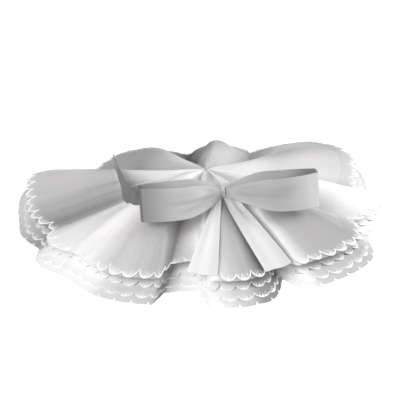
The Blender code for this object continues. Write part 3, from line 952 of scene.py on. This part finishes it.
def bowTail(name, endX, endY, widening, node, paintedShading):
    knot, half = np.array(bow["knot"]), np.array(bow["knotHalf"])
    start = knot + np.array([math.copysign(tails["startX"], endX), 0, -half[2] - tails["underKnot"]])
    out = np.linspace(0, 1, tails["columns"])
    v = np.linspace(-0.5, 0.5, tails["rows"])[:, None]
    along = np.array([endX - start[0], endY - start[1]])
    along = along / np.linalg.norm(along)
    width = between(tails["topWidth"], tails["endWidth"], out**widening)
    x = between(start[0], endX, out) - along[1] * width * v
    y = between(start[1], endY, out) + along[0] * width * v
    rest = ridgeHeight(x, y) + tails["lift"]
    z = np.maximum(rest, between(start[2], rest, smooth(out / tails["settleOver"])))
    waves = np.cos(v * 2 * np.pi * tails["foldWaves"] + tails["foldStart"] + out)
    folds = tails["foldHeight"] * waves * smooth(out / tails["foldRise"]) * (1 - 0.5 * out)
    curl = tails["curl"] * (2 * np.abs(v)) ** 3 * smooth((out - tails["curlFrom"]) / tails["curlOver"])
    z = z + np.maximum(folds, tails["deepestFold"]) + curl
    points = np.stack([x, y, z], -1)
    maps = np.stack([v * width, np.broadcast_to(out * tails["length"], z.shape)], -1)
    piece = gridSheet(name, points, maps, np.full(z.shape, paintedShading), bow["ribbonWall"])
    finishPiece(piece, satinRibbon, [node], bow["sharpAngle"])


def bowKnot():
    bpy.ops.object.select_all(action="DESELECT")
    bpy.ops.mesh.primitive_cube_add(size=2, location=bow["knot"])
    piece = bpy.context.active_object
    piece.name = piece.data.name = "bowKnot"
    piece.scale = bow["knotHalf"]
    bpy.ops.object.transform_apply(location=True, rotation=False, scale=True)
    bpy.ops.object.mode_set(mode="EDIT")
    bpy.ops.mesh.select_all(action="SELECT")
    bpy.ops.mesh.bevel(offset=bow["knotBevel"], segments=4)
    bpy.ops.mesh.subdivide(number_cuts=3)
    bpy.ops.object.mode_set(mode="OBJECT")
    for vertex in piece.data.vertices:
        groove = bow["knotGroove"] * math.cos(vertex.co.x / bow["knotHalf"][0] * math.pi * 2)
        vertex.co.y -= groove * (1 if vertex.co.y > bow["knot"][1] else -1)
    # painted shade: the knot a touch darker all over
    paintedShading = piece.data.attributes.new("paintedShading", "FLOAT", "POINT")
    paintedShading.data.foreach_set("value", [bow["knotPaintedShade"]] * len(piece.data.vertices))
    finishPiece(piece, satinRibbon, ["bow_knot"])


bowLoop("bowLoopLeft", "left", 1, "bow_loop_left")
bowLoop("bowLoopRight", "right", -1, "bow_loop_right")
bowKnot()
for name, values in tailEnds.items():
    bowTail(name, *values)
print("bow ready")


# Sash: a ribbon on edge round the hip, its foot cut to the folds it crosses

sashSizes = {
    "top": 0.0176,
    "sidePaintedShade": 0.23,
    "bowPaintedShade": 1.0,
    "sideShade": (0.06, 0.06),     # from here towards the side, over this length
    "clearance": 0.0009,
    "footSpread": 2,           # columns each way whose highest cloth sets the foot
    "columns": 150,
    "rows": 10,
    "stepsPerLeg": 12,
    "searchTurns": 1440,       # the grid on which the cloth's height is looked up
    "searchRings": 90,
    "searchShares": (0.15, 0.8),
}
sashPath = np.array([(0.070, -0.089), (0.0, -0.097), (-0.080, -0.093), (-0.140, -0.081),
                     (-0.158, -0.068), (-0.161, 0.0), (-0.158, 0.078)])


def heightOver(x, y):
    # the upper cloth's height under a place in plan, found by nearest point on a fine grid
    turns = np.linspace(0, lineCount, sashSizes["searchTurns"] + 1)[:-1]
    shares = np.linspace(*sashSizes["searchShares"], sashSizes["searchRings"])
    cloth = onCloth(upperPoint, *np.meshgrid(turns, shares), 0.0).reshape(-1, 3)
    nearest = [np.argmin((cloth[:, 0] - a) ** 2 + (cloth[:, 1] - b) ** 2) for a, b in zip(x, y)]
    return cloth[nearest, 2]


def splineThrough(points, perLeg):
    curve = []
    for k in range(len(points) - 1):
        before, a = points[max(k - 1, 0)], points[k]
        b, after = points[k + 1], points[min(k + 2, len(points) - 1)]
        for t in np.arange(perLeg) / perLeg:
            bend = (2 * before - 5 * a + 4 * b - after) * t**2 + (3 * a - before - 3 * b + after) * t**3
            curve.append(0.5 * (2 * a + (b - before) * t + bend))
    return np.array(curve + [points[-1]])


def makeSash():
    line, run = evenly(splineThrough(sashPath, sashSizes["stepsPerLeg"]), sashSizes["columns"])
    x, y = line.T
    cloth = heightOver(x, y)
    spread = sashSizes["footSpread"]
    foot = np.array([cloth[max(i - spread, 0):i + spread + 1].max() for i in range(len(cloth))])
    v = np.linspace(0, 1, sashSizes["rows"])[:, None]
    z = between(foot + sashSizes["clearance"], sashSizes["top"], v)
    points = np.stack([np.broadcast_to(x, z.shape), np.broadcast_to(y, z.shape), z], -1)
    maps = np.stack([z, np.broadcast_to(run, z.shape)], -1)
    # painted shade: darker where it stands alone at the side, turned away from the light, than behind the bow
    shaded = rising(-points[..., 0], sashSizes["sideShade"])
    paintedShadings = between(sashSizes["bowPaintedShade"], sashSizes["sidePaintedShade"], shaded)
    piece = gridSheet("hipSash", points, maps, paintedShadings, bow["ribbonWall"])
    finishPiece(piece, satinRibbon, ["sash"], bow["sharpAngle"])


makeSash()
print("sash ready")
# Studio: a pale floor far below, a softbox on each side and a weak one in front

studio = {
    "floorHeight": -0.75,
    "floorSize": 14,
    "floorColour": (0.95, 0.95, 0.95, 1),
    "floorGlow": 0.75,
    "floorRoughness": 0.9,
    "azimuth": -16,
    "elevation": 28,
    "distance": 2.2,
    "shiftRight": 0.0074,
    "shiftUp": -0.0749,
    "frameWidth": 0.777,       # what the picture spans at the origin
    "sensorWidth": 36,
    "lightsAim": -0.04,        # the height that the softboxes point at
    "worldStrength": 0.24,
}
# Each softbox: azimuth, elevation, distance, size, power
softboxes = {
    "keyBox": (-54, 32, 2.2, 1.4, 34),
    "rightBox": (84, 24, 2.4, 1.4, 66),
    "frontBox": (-10, 14, 2.6, 2.0, 10),
}
white = (1, 1, 1, 1)


def awayFrom(azimuth, elevation):
    a, e = math.radians(azimuth), math.radians(elevation)
    return Vector((math.sin(a) * math.cos(e), -math.cos(a) * math.cos(e), math.sin(e)))


def makeFloor():
    bpy.ops.object.select_all(action="DESELECT")
    bpy.ops.mesh.primitive_plane_add(size=studio["floorSize"], location=(0, 0, studio["floorHeight"]))
    floor = bpy.context.active_object
    floor.name = "floor"
    material = bpy.data.materials.new("paleFloor")
    material.use_nodes = True
    shader = material.node_tree.nodes["Principled BSDF"]
    shader.inputs["Base Color"].default_value = studio["floorColour"]
    shader.inputs["Roughness"].default_value = studio["floorRoughness"]
    shader.inputs["Emission Color"].default_value = white
    shader.inputs["Emission Strength"].default_value = studio["floorGlow"]
    floor.data.materials.append(material)
    floor.visible_diffuse = False      # so that the cloth keeps its shadows


def makeLights():
    for name, (azimuth, elevation, distance, size, power) in softboxes.items():
        back = awayFrom(azimuth, elevation)
        light = bpy.data.lights.new(name, "AREA")
        light.size = size
        light.energy = power
        box = bpy.data.objects.new(name, light)
        box.location = Vector((0, 0, studio["lightsAim"])) + back * distance
        box.rotation_euler = back.to_track_quat("Z", "Y").to_euler()
        bpy.context.collection.objects.link(box)
    world = bpy.data.worlds.new("studio")
    bpy.context.scene.world = world
    world.use_nodes = True
    background = world.node_tree.nodes["Background"]
    background.inputs["Color"].default_value = white
    background.inputs["Strength"].default_value = studio["worldStrength"]
    bpy.context.scene.view_settings.view_transform = "Standard"


def makeCamera():
    back = awayFrom(studio["azimuth"], studio["elevation"])
    a = math.radians(studio["azimuth"])
    right = Vector((math.cos(a), math.sin(a), 0))
    up = back.cross(right)
    data = bpy.data.cameras.new("camera")
    data.sensor_width = studio["sensorWidth"]
    data.lens = studio["sensorWidth"] * studio["distance"] / studio["frameWidth"]
    camera = bpy.data.objects.new("camera", data)
    camera.location = right * studio["shiftRight"] + up * studio["shiftUp"] + back * studio["distance"]
    camera.rotation_mode = "QUATERNION"
    camera.rotation_quaternion = (-back).to_track_quat("-Z", "Y")
    bpy.context.collection.objects.link(camera)
    bpy.context.scene.camera = camera


makeFloor()
makeLights()
makeCamera()
print("studio ready")
